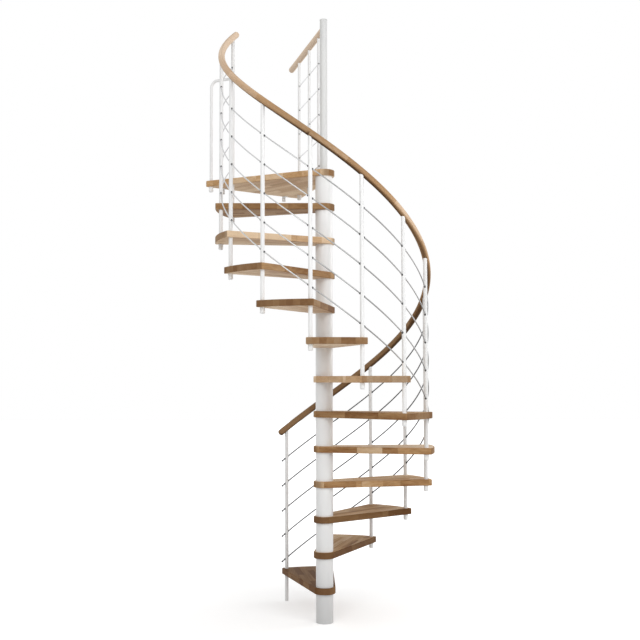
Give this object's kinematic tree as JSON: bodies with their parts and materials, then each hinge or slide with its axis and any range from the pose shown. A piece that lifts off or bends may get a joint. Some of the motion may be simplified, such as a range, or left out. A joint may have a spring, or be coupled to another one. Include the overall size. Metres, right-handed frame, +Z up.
{
  "type": "spiral staircase",
  "caption": "Spiral staircase with wooden treads round a white steel column, a helical round handrail on slim posts with rod infill, and a wedge-shaped landing with its own railing.",
  "frame": {"origin": "centre of the column's foot, on the lower floor", "axes": "+Z up along the column's axis; the flight climbs clockwise seen from above, from post_00 at 113.2 degrees anticlockwise of +X"},
  "size_m": [1.5014, 1.5679, 3.9104],
  "materials": {
    "tread_wood": "clear-lacquered finger-jointed oak boards",
    "rail_wood": "clear-lacquered bent oak rail",
    "column_paint": "white powder coat",
    "post_paint": "white powder coat",
    "rod_steel": "brushed stainless rod"
  },
  "bodies": {
    "root": {"base_plate": "column_paint", "centre_pole": "column_paint", "column_sleeves": "column_paint", "end_hoop": "post_paint", "handrail_1": "rail_wood", "handrail_2": "rail_wood", "handrail_3": "rail_wood", "landing": "tread_wood", "landing_brackets": "post_paint", "landing_posts": "post_paint", "landing_rail": "rail_wood", "landing_rods": "rod_steel", "pole_cap": "column_paint", "post_00": "post_paint", "post_01": "post_paint", "post_02": "post_paint", "post_03": "post_paint", "post_04": "post_paint", "post_05": "post_paint", "post_06": "post_paint", "post_07": "post_paint", "post_08": "post_paint", "post_09": "post_paint", "post_10": "post_paint", "post_11": "post_paint", "post_12": "post_paint", "post_feet": "post_paint", "rods_1": "rod_steel", "rods_2": "rod_steel", "rods_3": "rod_steel", "rods_4": "rod_steel", "rods_5": "rod_steel", "tread_01": "tread_wood", "tread_02": "tread_wood", "tread_03": "tread_wood", "tread_04": "tread_wood", "tread_05": "tread_wood", "tread_06": "tread_wood", "tread_07": "tread_wood", "tread_08": "tread_wood", "tread_09": "tread_wood", "tread_10": "tread_wood", "tread_11": "tread_wood", "tread_12": "tread_wood"}
  },
  "joints": []
}
